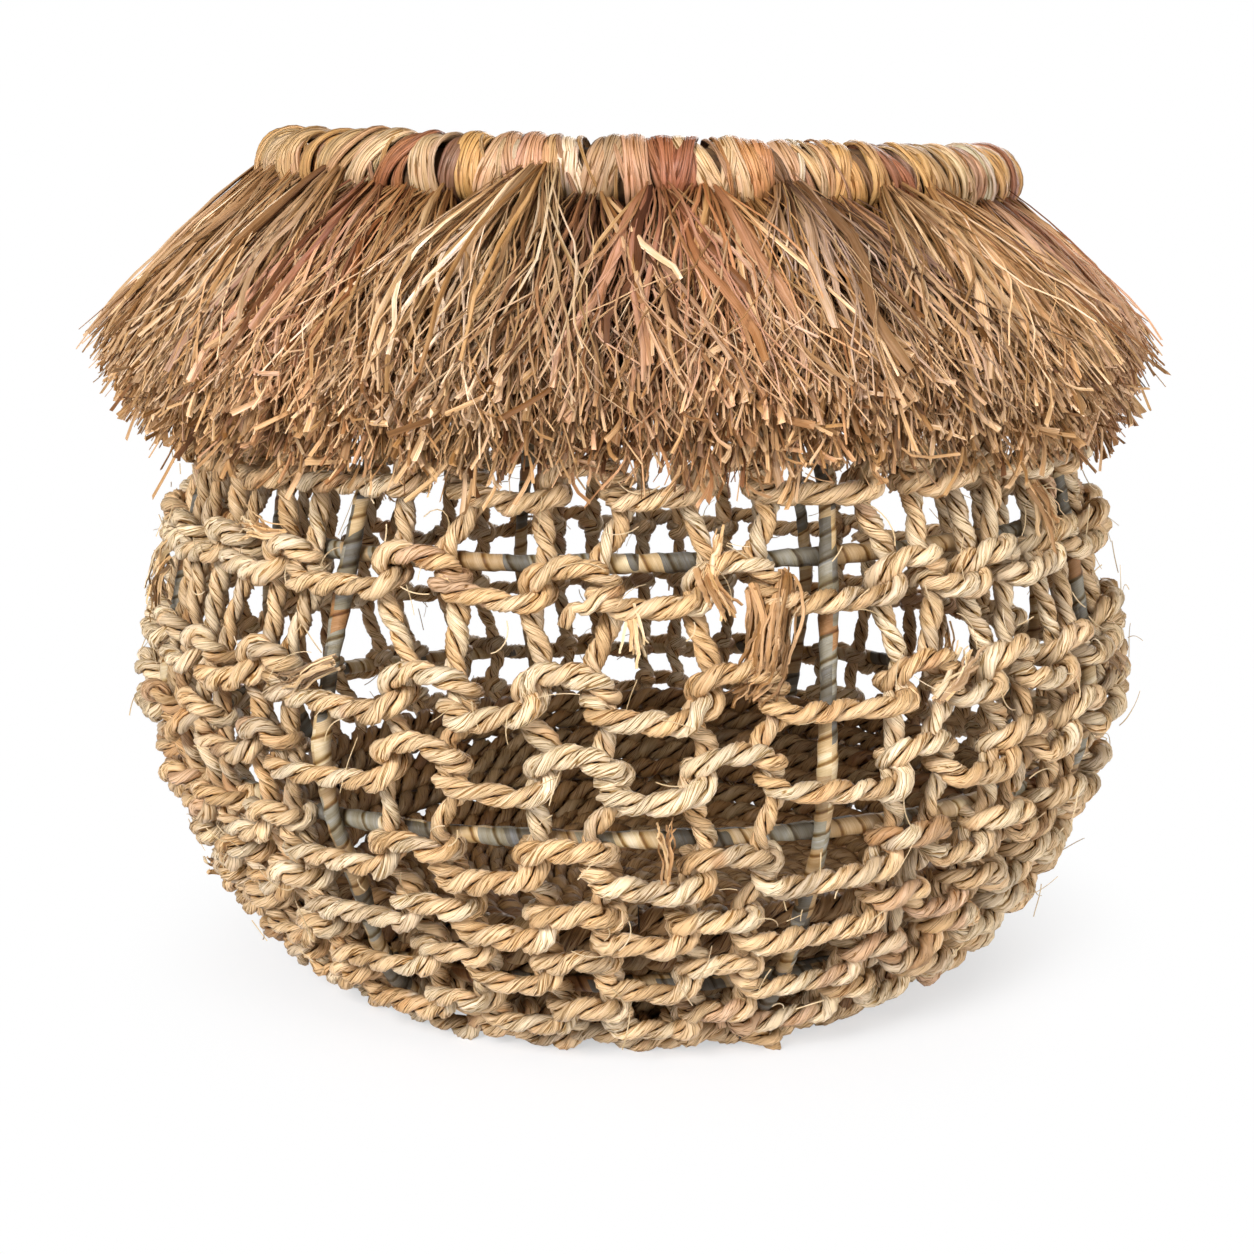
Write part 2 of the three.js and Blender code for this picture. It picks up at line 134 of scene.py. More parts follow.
def build(name, strands, closed, colours, smooth=True):
    """One mesh of like strands. strands is a list of arrays (strand, station, corner, xyz), and
    colours has a tint for each. Each strand's map starts further along, so no two look alike."""
    places, corners, starts, tints, maps = [], [], [], [], []
    base = loop = 0
    for rings, colour in zip(strands, colours):
        count, stations, sides, _ = rings.shape
        number = base + np.arange(count * stations * sides).reshape(count, stations, sides)
        here = number if closed else number[:, :-1]
        above = np.roll(number, -1, 1) if closed else number[:, 1:]
        quads = np.stack([here, above, np.roll(above, -1, 2), np.roll(here, -1, 2)], -1)
        corners.append(quads.ravel())
        starts.append(loop + 4 * np.arange(quads.size // 4))
        loop += quads.size
        run = np.concatenate([np.zeros((count, 1)), np.cumsum(np.linalg.norm(
            np.diff(rings.mean(2), axis=1), axis=-1), 1)], 1)
        if closed:
            run = np.concatenate([run, run[:, -1:] + run[:, 1:2]], 1)
        low = np.broadcast_to(run[:, :-1, None], quads.shape[:3])
        high = np.broadcast_to(run[:, 1:, None], quads.shape[:3])
        left = np.broadcast_to(np.arange(sides) / sides, quads.shape[:3])
        right = left + 1 / sides
        shift = MAP_SHIFT * np.arange(count)[:, None, None]
        maps.append(np.stack([left, low + shift, left, high + shift,
                              right, high + shift, right, low + shift], -1).ravel())
        if not closed:
            for cap in (number[:, 0], number[:, -1, ::-1]):
                corners.append(cap.ravel())
                starts.append(loop + sides * np.arange(count))
                loop += cap.size
                maps.append(np.full(2 * cap.size, 0.5))
        places.append(rings.reshape(-1, 3))
        tints.append(np.broadcast_to(colour, rings.shape).reshape(-1, 3))
        base += rings[..., 0].size
    mesh = bpy.data.meshes.new(name)
    corners, starts = np.concatenate(corners), np.concatenate(starts)
    mesh.vertices.add(base)
    mesh.vertices.foreach_set("co", np.concatenate(places).astype(np.float32).ravel())
    mesh.loops.add(len(corners))
    mesh.loops.foreach_set("vertex_index", corners.astype(np.int32))
    mesh.polygons.add(len(starts))
    mesh.polygons.foreach_set("loop_start", starts.astype(np.int32))
    mesh.polygons.foreach_set("use_smooth", np.full(len(starts), smooth))
    mesh.update(calc_edges=True)
    mesh.uv_layers.new(name="lay").data.foreach_set("uv", np.concatenate(maps).astype(np.float32))
    tint = np.concatenate([np.concatenate(tints), np.ones((base, 1))], 1)
    mesh.color_attributes.new("tint", "FLOAT_COLOR", "POINT").data.foreach_set(
        "color", tint.astype(np.float32).ravel())
    piece = bpy.data.objects.new(name, mesh)
    bpy.context.scene.collection.objects.link(piece)
    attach(piece, "root")
    return piece


class Wire:
    """An output of a finish's node. Python's own signs on it add Math nodes."""

    def __init__(self, finish, socket):
        self.finish, self.socket = finish, socket

    def math(self, operation, *values):
        return self.finish.node("ShaderNodeMath", {"operation": operation}, dict(enumerate(values)))

    def __add__(self, other):
        return self.math("ADD", self, other)

    __radd__ = __add__

    def __mul__(self, other):
        return self.math("MULTIPLY", self, other)

    __rmul__ = __mul__

    def __pow__(self, other):
        return self.math("POWER", self, other)

    def __sub__(self, other):
        return self.math("SUBTRACT", self, other)

    def __rsub__(self, other):
        return self.math("SUBTRACT", other, self)

    def __truediv__(self, other):
        return self.math("DIVIDE", self, other)

    def floor(self):
        return self.math("FLOOR", self)

    def size(self):
        return self.math("ABSOLUTE", self)

    def between(self, low, high):
        """0 at low and 1 at high, held outside them and eased between them."""
        return self.finish.node(
            "ShaderNodeMapRange", {"interpolation_type": "SMOOTHSTEP"},
            {"Value": self, "From Min": low, "From Max": high})

    def line(self, thickness):
        """1 on the thin lines where a noise passes through its middle, 0 between them."""
        return 1 - (self - 0.5).size().between(0.0, thickness)


class Finish:
    """A material with its shader, and one method for every node that it is made of."""

    def __init__(self, name, **settings):
        self.material = bpy.data.materials.new(name)
        self.material.use_nodes = True
        self.tree = self.material.node_tree
        self.shader = self.tree.nodes["Principled BSDF"]
        for socket, value in settings.items():
            self.shader.inputs[socket.replace("_", " ")].default_value = value

    def node(self, kind, settings=None, sockets=None, output=0):
        made = self.tree.nodes.new(kind)
        for key, value in (settings or {}).items():
            if key == "stops":
                while len(made.color_ramp.elements) < len(value):
                    made.color_ramp.elements.new(0.5)
                for element, (place, colour) in zip(made.color_ramp.elements, value):
                    element.position = place
                    element.color = (*colour, 1)
            else:
                setattr(made, key, value)
        for key, value in (sockets or {}).items():
            if isinstance(value, Wire):
                self.tree.links.new(value.socket, made.inputs[key])
            else:
                made.inputs[key].default_value = value
        return Wire(self, made.outputs[output])

    def blend(self, factor, low, high, how="MIX"):
        """Mixes two colours; Mix has its colour sockets at 6 and 7, and its result at 2."""
        return self.node("ShaderNodeMix", {"data_type": "RGBA", "blend_type": how},
                         {0: factor, 6: low, 7: high}, 2)

    def dusk(self, shade):
        """A brightness as a colour, browner where it is dark, so that the painted shade fed into it
        turns warm brown.
        """
        return self.node("ShaderNodeCombineColor", None, {0: shade, 1: shade ** 1.4, 2: shade ** 2.4})

    def lay(self):
        """The strand's own map: across its section from 0 to 1, and along it in metres."""
        place = self.node("ShaderNodeUVMap", {"uv_map": "lay"})
        across = self.node("ShaderNodeSeparateXYZ", None, {0: place})
        return across, Wire(self, across.socket.node.outputs[1])

    def at(self, x, y, z=0.0):
        return self.node("ShaderNodeCombineXYZ", None, {0: x, 1: y, 2: z})

    def noise(self, vector, scale=1.0, detail=2.0, roughness=0.5):
        return self.node("ShaderNodeTexNoise", {"noise_dimensions": "3D"},
                         {"Vector": vector, "Scale": scale, "Detail": detail, "Roughness": roughness})

    def tint(self):
        return self.node("ShaderNodeVertexColor", {"layer_name": "tint"})

    def bump(self, height, strength, distance):
        normal = self.node("ShaderNodeBump", None, {
            "Height": height, "Strength": strength, "Distance": distance})
        self.feed("Normal", normal)

    def feed(self, socket, wire):
        self.tree.links.new(wire.socket, self.shader.inputs[socket])


def dye(red, green, blue):
    """A colour as the eye reads it, 0 to 255, made linear."""
    return tuple((value / 255) ** 2.2 for value in (red, green, blue))


WIRE_RADIUS = 0.0034
WIRE_SIDES = 12
WIRE_STEP = 0.0026
WIRE_STRIP = 0.0100
STRIP_EDGE = 0.0006
RIB_ANGLES = (-35, 20, 65, 108, 154, 198, 243, 287)
RIB_LEANS = (2.5, 0.8, 1.5, -1.0, 0.6, -0.8, 1.2, -1.5)
RIB_FOOT = 0.018
RIB_TOP = 0.358
RIB_PLACE = -0.0010
RIB_KICK = 3.2
HOOP_PLACE = -0.0085
# Each hoop's level at the front, its level at the back, and how far outside the side it is there.
HOOPS = {"base_hoop": (0.034, 0.026, 0.0098), "lower_hoop": (0.115, 0.0945, 0.0098),
         "upper_hoop": (0.228, 0.226, -0.0085)}

wound = Finish("wound_bark_strip", Roughness=0.5)
across, along = wound.lay()
winding = along / WIRE_STRIP + across
in_turn = winding - winding.floor()
strip_end = wound.noise(wound.at(0.0, along * 60), 1.0, 1.0) * 2.0
pick = wound.node("ShaderNodeTexWhiteNoise", {"noise_dimensions": "1D"},
                  {"W": (winding * 0.7 + strip_end).floor()})
bark = wound.node("ShaderNodeValToRGB", {"stops": [
    (0.0, dye(208, 184, 150)), (0.22, dye(226, 210, 184)), (0.42, dye(150, 148, 142)),
    (0.56, dye(186, 160, 128)), (0.72, dye(112, 110, 108)), (0.94, dye(176, 134, 96))]}, {"Fac": pick})
bark.socket.node.color_ramp.interpolation = "CONSTANT"
streak = wound.noise(wound.at(winding * 26, along * 90), 1.0, 3.0)
stain = wound.noise(wound.at(winding * 2, along * 130), 1.0, 2.0)
# Painted shade: the strip darkens at the seam where one turn laps the next.
edge = in_turn.between(0.0, 0.20) * (1 - in_turn.between(0.90, 1.0))
shade = (0.28 + 0.72 * edge) * (0.52 + 0.66 * streak) * (0.46 + 0.94 * stain)
wound.feed("Base Color", wound.blend(1.0, bark, wound.dusk(shade), "MULTIPLY"))
wound.bump(streak + 0.6 * edge, 0.7, 0.0008)


def wound_wire(name, line, upright, closed, length):
    """A wire with its strip wound on: the radius steps down where one turn laps the next."""
    first, second = cord_axes(line, upright, closed)
    turns = np.arange(WIRE_SIDES) / WIRE_SIDES
    run = np.arange(len(line))[:, None] * length / (len(line) if closed else len(line) - 1)
    step = run / WIRE_STRIP + turns
    radius = WIRE_RADIUS + STRIP_EDGE * (step - np.floor(step)) + 0.0004 * np.sin(run * 97)
    corner = 2 * np.pi * turns
    rings = (line[:, None] + (radius * np.cos(corner))[..., None] * first[:, None]
             + (radius * np.sin(corner))[..., None] * second[:, None])
    piece = build(name, [rings[None]], closed, [np.ones(3)])
    piece.data.materials.append(wound.material)
    return piece


for name, (front, rear, rear_place) in HOOPS.items():
    angles = np.linspace(0, 360, 240, endpoint=False)
    level = front + (rear - front) * backness(angles) + 0.0014 * np.sin(np.radians(3 * angles + 40))
    ring, up = on_wall(angles, level, HOOP_PLACE + (rear_place - HOOP_PLACE) * backness(angles) ** 2)
    line, length = flow(np.concatenate([ring, up], 1), WIRE_STEP, True)
    turns = round(length / WIRE_STRIP)
    hoop = wound_wire(name + "_wound", line[:, :3], line[:, 3:], True, turns * WIRE_STRIP)
    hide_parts(name)

# Each rib leans aside above the belly, and its foot is turned back round the base, in degrees.
for i, angle in enumerate(RIB_ANGLES):
    levels = np.linspace(RIB_FOOT, RIB_TOP, 40)
    lean = RIB_LEANS[i] * np.clip((levels - 0.15) / 0.1, 0, 1.5)
    kick = RIB_KICK * np.clip(1 - levels / 0.1, 0, 1) ** 1.5
    drift = angle + lean + 0.7 * np.sin(levels * 21 + i * 2.1) - kick
    post, _ = on_wall(drift, levels, RIB_PLACE)
    line, length = flow(post, WIRE_STEP, False)
    radial = around(1.0, np.full(len(line), float(angle)), 0.0)
    rib = wound_wire(f"rib_{i + 1}_wound", line, radial, False, length)
    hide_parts(f"rib_{i + 1}")

# Uprights: 48 legs of two-ply abaca rope, in pairs, that run from the edge of the base up
# under the rim. The rows of the net pull each pair together at their tops, least at the back.
ROPE_PITCH = 0.0255
ROPE_STEP = 0.0025
PLY_SIDES = 8
# A ply's half depth, its half width and its distance from the rope's middle, in rope thicknesses.
PLY_DEEP = 0.258
PLY_WIDE = 0.360
PLY_ARM = 0.230
STRAW, PALE, HONEY = dye(234, 199, 156), dye(242, 217, 182), dye(226, 186, 138)
ROSY, ASH, UMBER = dye(218, 178, 142), dye(218, 192, 160), dye(200, 158, 116)
# For each row of the net from the base's edge up: its level, how far it sinks at the back, the
# height of its waves and how far it is tucked in.
ROW_LEVELS = np.array([0.0100, 0.0330, 0.0590, 0.0855, 0.1135, 0.1495,
                       0.178, 0.221, 0.2576, 0.294, 0.326])
ROW_SINKS = np.array([0, 0.004, 0.009, 0.012, 0.0175, 0.0175, 0.012, 0.012, 0.012, 0.012, 0.010])
ROW_WAVES = np.array([0.45, 1.0, 1.15, 1.15, 1.2, 1.2, 1.4, 1.2, 1.0, 1.0, 0.9])
ROW_TUCKS = np.array([0.0065, 0.0025, 0.001, 0, 0, 0, 0, 0, 0, 0, 0])
PAIR_PLACES = (0.215, 0.515, 0.815)
PAIR_COUNT = len(RIB_ANGLES) * len(PAIR_PLACES)
FULL_SPACING = 0.062
ROW_OUTSIDE = 0.009
UPRIGHT_ROPE = 0.0088
NET_ROPE = 0.0100
LEG_FOOT = 0.007
LEG_TOP = 0.356
LEG_NEAR = 0.0096
LEG_FAR = 0.0165
LOW_ROWS = 4
LOW_GRIP = 0.0052
GRIP = 0.0085

pair_angles, pair_bays = [], []
for i, start in enumerate(RIB_ANGLES):
    width = (RIB_ANGLES[(i + 1) % len(RIB_ANGLES)] - start) % 360
    for place in PAIR_PLACES:
        pair_angles.append(start + place * width)
        pair_bays.append(i)
pair_angles = np.array(pair_angles)
pair_steps = np.diff(np.append(pair_angles, pair_angles[0] + 360))
pair_room = np.minimum(pair_steps, np.roll(pair_steps, 1))
calm = backness(pair_angles)
middles = pair_angles + rng.normal(0, 0.55, (len(ROW_LEVELS), PAIR_COUNT))
levels = ROW_LEVELS[:, None] - ROW_SINKS[:, None] * calm
row_radii = np.interp(levels, wall_heights, wall_radii) + ROW_OUTSIDE
per_metre = np.degrees(1 / row_radii)
scales = np.radians(pair_room) * row_radii / FULL_SPACING
waves = ROW_WAVES[:, None] * (1 - 0.65 * calm)
levels[1:] += rng.normal(0, 0.0012, levels[1:].shape)


def run_noise(length, grain, spread):
    """Smooth chance values with the given spread, one for each station of a strand. A new one is
    drawn every grain metres."""
    knots = rng.normal(0, spread, max(4, int(length / grain) + 3))
    return lambda count: np.interp(np.linspace(0, len(knots) - 1, count), np.arange(len(knots)), knots)


def leaf_colours(count, length):
    """Colours along a ply: one leaf strip after another is twisted into it."""
    choices = np.array([STRAW, PALE, HONEY, ROSY, ASH, UMBER])
    weights = (0.48, 0.25, 0.12, 0.04, 0.07, 0.04)
    strips = rng.choice(len(choices), max(3, int(length / 0.055) + 2), p=weights)
    edges = np.sort(rng.uniform(0, 1, len(strips)))
    place = np.linspace(0, 1, count)
    number = np.clip(np.searchsorted(edges, place), 0, len(strips) - 1)
    return choices[strips[number]] * (0.97 + run_noise(length, 0.012, 0.11)(count)[:, None])


def laid_rope(line, upright, closed, length, thickness):
    """The two plies of a rope along a line, as rings of corners, and their colours."""
    first, second = cord_axes(line, upright, closed)
    count = len(line)
    turns = length / ROPE_PITCH
    place = np.arange(count) / (count - 1)
    ends = np.ones(count)
    if closed:
        turns = round(turns)
        place = np.arange(count) / count
        ends = np.clip(30 * np.minimum(place, 1 - place), 0, 1)
    swing = run_noise(length, 0.022, 0.42)(count) * ends
    swell = 1 + (run_noise(length, 0.13, 0.07)(count) * ends).clip(-0.12, 0.12)
    corner = np.pi + 2 * np.pi * np.arange(PLY_SIDES) / PLY_SIDES
    strands, colours = [], []
    for ply in range(2):
        angle = (2 * np.pi * turns * place + np.pi * ply + swing)[:, None]
        out = np.cos(angle) * first + np.sin(angle) * second
        side = -np.sin(angle) * first + np.cos(angle) * second
        fat = thickness * swell * (1 + (run_noise(length, 0.011, 0.11)(count) * ends).clip(-0.2, 0.2))
        deep, wide, arm = fat * PLY_DEEP, fat * PLY_WIDE, fat * PLY_ARM
        centre = line + arm[:, None] * out
        rings = (centre[:, None] + (deep[:, None] * np.cos(corner))[..., None] * out[:, None]
                 + (wide[:, None] * np.sin(corner))[..., None] * side[:, None])
        strands.append(rings[None])
        colours.append(leaf_colours(count, length)[None, :, None])
    return strands, colours, closed


twisted = Finish("twisted_abaca", Roughness=0.44)
across, along = twisted.lay()
slant = across - along * 10
fibres = twisted.noise(twisted.at(slant * 44, along * 34), 1.0, 3.0, 0.65)
ridges = twisted.noise(twisted.at(slant * 13, along * 30, 5.0), 1.0, 2.0)
wrinkles = twisted.noise(twisted.at(slant * 8, along * 34, 9.0), 1.0, 1.0)
blotch = twisted.noise(twisted.at(across * 2, along * 62, 3.0), 1.0, 2.0)
warmth = twisted.noise(twisted.at(across * 2, along * 40, 7.0), 1.0, 2.0)
# Painted shade: thin dark lines along the wrinkles and ridges of the leaf strip.
crease_shade = wrinkles.line(0.026) + 0.7 * ridges.line(0.020)
# Painted shade: each ply darkens towards the groove where it meets the other ply.
inside = (across - 0.5).size().between(0.35, 0.46)
shade = ((0.66 + 0.26 * fibres + 0.34 * ridges) * (1 - 0.66 * crease_shade) * (1 - 0.92 * inside)
         * (0.84 + 0.32 * blotch))
browner = twisted.blend(1.0, twisted.tint(), (0.82, 0.60, 0.40, 1), "MULTIPLY")
leaf_tone = twisted.blend(warmth.between(0.54, 0.76) * 0.55, twisted.tint(), browner)
twisted.feed("Base Color", twisted.blend(1.0, leaf_tone, twisted.dusk(shade), "MULTIPLY"))
twisted.bump(fibres * 0.4 + ridges * 0.8 - crease_shade * 0.7, 0.75, 0.0010)


def rope_piece(name, ropes, slot, *stands_for):
    """One piece of some laid ropes, and the solids that it stands for."""
    strands = [rings for rope in ropes for rings in rope[0]]
    colours = [colour for rope in ropes for colour in rope[1]]
    piece = build(name, strands, ropes[0][2], colours)
    piece.data.materials.append(twisted.material)
    if stands_for:
        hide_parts(*stands_for)


# A pair's two legs stand near each other just above a row and far apart just below the next.
upright_ropes = [[] for _ in RIB_ANGLES]
for pair in range(PAIR_COUNT):
    near = LEG_NEAR + 0.0028 * calm[pair]
    far = LEG_FAR - 0.0040 * calm[pair]
    for side in (-1, 1):
        stops = [(pair_angles[pair] + side * 2.2, LEG_FOOT, -0.010)]
        for row in range(len(ROW_LEVELS)):
            reach = side * scales[row, pair] * per_metre[row, pair]
            half = LOW_GRIP if row < LOW_ROWS else GRIP
            if row > 0:
                stops.append((middles[row, pair] + far * reach, levels[row, pair] - half, 0.0))
            stops.append((middles[row, pair] + near * reach, levels[row, pair] + half, 0.0))
        stops.append((pair_angles[pair] + side * 2.4, LEG_TOP, 0.0))
        stops = np.array(stops)
        stops[1:-1, 0] += rng.normal(0, 0.16, len(stops) - 2)
        stops[:, 2] += rng.normal(0, 0.0006, len(stops))
        line, length = flow(on_wall(*stops.T)[0], ROPE_STEP, False)
        upright_ropes[pair_bays[pair]].append(
            laid_rope(line, unit(line * (1, 1, 0)), False, length, UPRIGHT_ROPE))
for i, ropes in enumerate(upright_ropes):
    rope_piece(f"upright_rope_{i + 1}_laid", ropes, "upright_rope", f"upright_rope_{i + 1}")

# Net rows: one two-ply rope for each row. It arches over a pair of uprights, turns back behind
# the second one, and sags under the gap to the next pair, so every upright is wrapped once.
# HALF_WAVE has steps sideways, up and outwards from the middle of a pair.
HALF_WAVE = np.array([
    (0.0000, 0.0060, 0.0100), (0.0070, 0.0055, 0.0098), (0.0130, 0.0036, 0.0078),
    (0.0166, 0.0006, 0.0012), (0.0138, -0.0003, -0.0060), (0.0102, -0.0012, 0.0004),
    (0.0112, -0.0034, 0.0070), (0.0158, -0.0054, 0.0092), (0.0220, -0.0061, 0.0094)])
FULL_WAVE = np.concatenate([HALF_WAVE[:0:-1] * (-1, 1, 1), HALF_WAVE])

rows = []
for row in range(len(ROW_LEVELS)):
    stops = []
    for step in range(PAIR_COUNT):
        pair = (step + PAIR_COUNT // 2) % PAIR_COUNT
        reach = scales[row, pair] * per_metre[row, pair]
        wave = FULL_WAVE * (reach, waves[row, pair], 1)
        wave += rng.normal(0, 1, wave.shape) * (0.12, 0.0006, 0.0005)
        stops.append(wave + (middles[row, pair], levels[row, pair], -ROW_TUCKS[row]))
    points, up = on_wall(*np.concatenate(stops).T)
    line, length = flow(np.concatenate([points, up], 1), ROPE_STEP, True)
    rows.append(laid_rope(line[:, :3], line[:, 3:], True, length, NET_ROPE))
for row in range(1, len(rows)):
    rope_piece(f"net_row_{row:02d}_laid", [rows[row]], "net_rope", f"net_row_{row:02d}")

# Base: one rope coiled down inside the foot of the side and then flat to the middle; painted shade makes
# it darker and browner than the rest. A last row of the net goes round its edge, just off the floor.
COIL_ROPE = 0.0138
COIL_TURNS = 13.85
COIL_EDGE = 0.1510
COIL_PITCH = 0.0108
COIL_LEVEL = 0.0084
CLIMB_TURNS = 7.02
CLIMB_FOOT = 0.0030
CLIMB_RISE = 0.0630
CLIMB_PLACE = -0.0165
TURN_POINTS = 40
COIL_STEP = 0.0034
CLIMB_STEP = 0.0038
BASE_SHADE = np.array((0.46, 0.38, 0.28))
turns = np.arange(0, COIL_TURNS, 1 / TURN_POINTS)
coil = around(COIL_EDGE - COIL_PITCH * turns, 360 * turns, COIL_LEVEL + 0.0005 * np.sin(turns * 31))
line, length = flow(coil, COIL_STEP, False)
coiled = laid_rope(line, np.tile((0.0, 0.0, 1.0), (len(line), 1)), False, length, COIL_ROPE)
turns = np.arange(0, CLIMB_TURNS, 1 / TURN_POINTS)
climb, _ = on_wall(
    360 * turns, CLIMB_FOOT + CLIMB_RISE * (1 - turns / CLIMB_TURNS) ** 1.3, CLIMB_PLACE)
line, length = flow(climb, CLIMB_STEP, False)
turned_up = laid_rope(line, unit(line * (1, 1, 0)), False, length, COIL_ROPE)
# Painted shade: the base rope's tints are darkened, as the inside of the basket lies in shade.
for _, colours, _ in (coiled, turned_up):
    for colour in colours:
        colour *= BASE_SHADE
rope_piece("base_coil", [coiled], "base_rope", "base_mat")
rope_piece("base_turned_up", [turned_up], "base_rope")
rope_piece("base_edge_row", rows[:1], "base_rope")

# Loose ends: cut and frayed tails of the net's ropes, bundles of bark strip worked in round the
# front uprights, and fine stray hairs all over the net.
BARK, CREAM = dye(186, 142, 98), dye(232, 208, 172)
DUN, BRONZE = dye(166, 136, 106), dye(146, 106, 62)
SIDE_RADIUS = 0.22
BLADE_THICKNESS = 0.0003
BLADE_STEP = 0.002
LIFT = 0.012
BACK_TAILS = 26
HAIRS = 360
HAIR_STATIONS = 7
HAIR_WIDTH = 0.00030
HAIR_LIFT = 0.0135


def blades(line, size, roll, cut=0.25, ridge=0.32):
    """Flat strips of leaf along lines: three-sided, face outwards but for their roll, cut off askew."""
    along = unit(np.gradient(line, axis=1))
    outward = unit(line * (1, 1, 0)) * 0.68 + (0, 0, 0.73)
    side = unit(np.cross(along, outward))
    face = np.cross(side, along)
    side, face = (np.cos(roll)[..., None] * side + np.sin(roll)[..., None] * face,
                  -np.sin(roll)[..., None] * side + np.cos(roll)[..., None] * face)
    corners = np.array([(0.5, 0.0), (0.0, ridge), (-0.5, 0.0)])
    rings = (line[:, :, None] + (size[..., None] * corners[:, 0])[..., None] * side[:, :, None]
             + ((size[..., None] + BLADE_THICKNESS) * corners[:, 1])[..., None] * face[:, :, None])
    askew = rng.normal(0, cut, (len(line), 3)) * size[:, -1:]
    rings[:, -1] += askew[..., None] * along[:, -1:]
    return rings


leaf = Finish("dry_leaf_fibre", Roughness=0.55)
across, along = leaf.lay()
threads = leaf.noise(leaf.at(across * 9, along * 30), 1.0, 3.0, 0.65)
patches = leaf.noise(leaf.at(across, along * 70, 4.0), 1.0, 2.0)
shade = (0.24 + 1.30 * threads) * (0.70 + 0.56 * patches)
leaf.feed("Base Color", leaf.blend(1.0, leaf.tint(), leaf.dusk(shade), "MULTIPLY"))
leaf.bump(threads, 0.5, 0.0007)


def leaf_piece(name, strands):
    """One piece of groups of strips, each with its tints."""
    piece = build(name, [rings for rings, _ in strands], False, [tint for _, tint in strands], False)
    piece.data.materials.append(leaf.material)
    return piece


def from_anchor(angle, level, path):
    """A line on the side: steps sideways, up and outwards in millimetres from an anchor."""
    sideways, rise, out = np.array(path, float).T / 1000
    radius = np.interp(level, wall_heights, wall_radii) + LIFT
    points, _ = on_wall(angle + np.degrees(sideways / radius), level + rise, out)
    return flow(points, BLADE_STEP, False)[0]


def frayed(angle, level, path, count, width, spread, tones, gathered=False):
    """Strips that leave an anchor together and part towards their ends, or only in between."""
    line = from_anchor(angle, level, path)
    share = np.linspace(0, 1, len(line))[None, :, None]
    start = rng.normal(0, 0.0014, (count, 1, 3))
    opening = np.sin(np.pi * share ** 0.8) if gathered else share ** 1.6
    parting = rng.normal(0, spread, (count, 1, 3)) * opening
    wiggle = np.cumsum(rng.normal(0, 0.0006, (count, len(line), 3)), 1) * share
    size = rng.uniform(*width, (count, 1)) * (1.0 - 0.45 * share[..., 0] ** 2)
    roll = rng.uniform(-1.4, 1.4, (count, 1))
    tint = np.array(tones)[rng.integers(0, len(tones), count)] * rng.uniform(0.7, 1.15, (count, 1))
    return blades(line + start + parting + wiggle, size, roll), tint[:, None, None]


# Each tail has its anchor's angle and level, its path, its strips' count, widths and spread, and
# their tones.
tails = [
    frayed(-0.8, 0.2095, [(0, 3, 9), (1, -3, 12), (2, -12, 13)], 9, (0.0018, 0.0034), 0.0014,
           [STRAW, CREAM, HONEY]),
    frayed(7.6, 0.226, [(-3, 0, 10), (-2, -6, 14), (1, -11, 14), (4, -16, 12)], 14,
           (0.0018, 0.0042), 0.0016, [BARK, HONEY, UMBER]),
    frayed(7.2, 0.230, [(0, -6, 12), (2, 1, 12), (4, 6, 13)], 12, (0.0014, 0.003), 0.0020,
           [BARK, STRAW, HONEY]),
    frayed(14.0, 0.2185, [(5, 4, 5), (0, -8, 9), (-3, -20, 11), (-5, -30, 9), (-9, -38, 3)], 64,
           (0.0010, 0.0032), 0.0030, [BRONZE, UMBER, BRONZE, UMBER], True),
    frayed(13.2, 0.2165, [(-6, 2, 6), (-5, -8, 10), (-8, -20, 9), (-10, -32, 4)], 18,
           (0.0012, 0.0034), 0.0020, [BRONZE, UMBER], True),
    frayed(2.8, 0.113, [(0, -2, 10), (0, 6, 12), (-1, 13, 12), (-1, 20, 12)], 10, (0.0012, 0.003),
           0.0016, [BARK, HONEY]),
    frayed(-44.5, 0.229, [(12, 1, 10), (4, 0, 12), (-6, 1, 12), (-16, 0, 10)], 30,
           (0.0006, 0.0018), 0.0020, [HONEY, STRAW, CREAM, BARK]),
    frayed(-34.5, 0.178, [(10, 6, 10), (2, 2, 12), (-7, -4, 12), (-15, -6, 9)], 26,
           (0.0006, 0.0018), 0.0024, [DUN, ASH, STRAW, DUN]),
    frayed(33.0, 0.176, [(-8, -6, 10), (0, 0, 12), (8, 8, 12)], 16, (0.001, 0.003), 0.0030,
           [DUN, STRAW, CREAM]),
    frayed(-72.0, 0.205, [(6, 6, 9), (0, 0, 12), (-8, -8, 11)], 22, (0.001, 0.0028), 0.0032,
           [STRAW, HONEY, CREAM]),
    frayed(68.0, 0.160, [(-6, 4, 8), (0, -2, 11), (5, -7, 9)], 16, (0.001, 0.003), 0.0018,
           [STRAW, DUN, HONEY]),
    frayed(52.0, 0.235, [(-6, 10, 9), (0, 0, 11), (4, -12, 11)], 14, (0.001, 0.003), 0.0026,
           [BARK, STRAW])]
for _ in range(BACK_TAILS):
    turn, rise = rng.uniform(0, 2 * np.pi), rng.uniform(5, 11)
    reach = np.array((math.cos(turn), math.sin(turn))) * rise
    tails.append(frayed(rng.uniform(75, 300), rng.uniform(0.04, 0.25), [
        (0, 0, 8), (reach[0], reach[1], 12), (2 * reach[0], 2 * reach[1] - 3, 11)], 10,
        (0.001, 0.003), 0.0026, [STRAW, HONEY, DUN, CREAM]))
angle, level = rng.uniform(-180, 180, (HAIRS, 1)), rng.uniform(0.04, 0.26, (HAIRS, 1))
share = np.linspace(0, 1, HAIR_STATIONS)[None]
heading = rng.uniform(0, 2 * np.pi, (HAIRS, 1)) + rng.normal(0, 0.6, (HAIRS, 1)) * share
reach = rng.uniform(0.005, 0.020, (HAIRS, 1)) * share
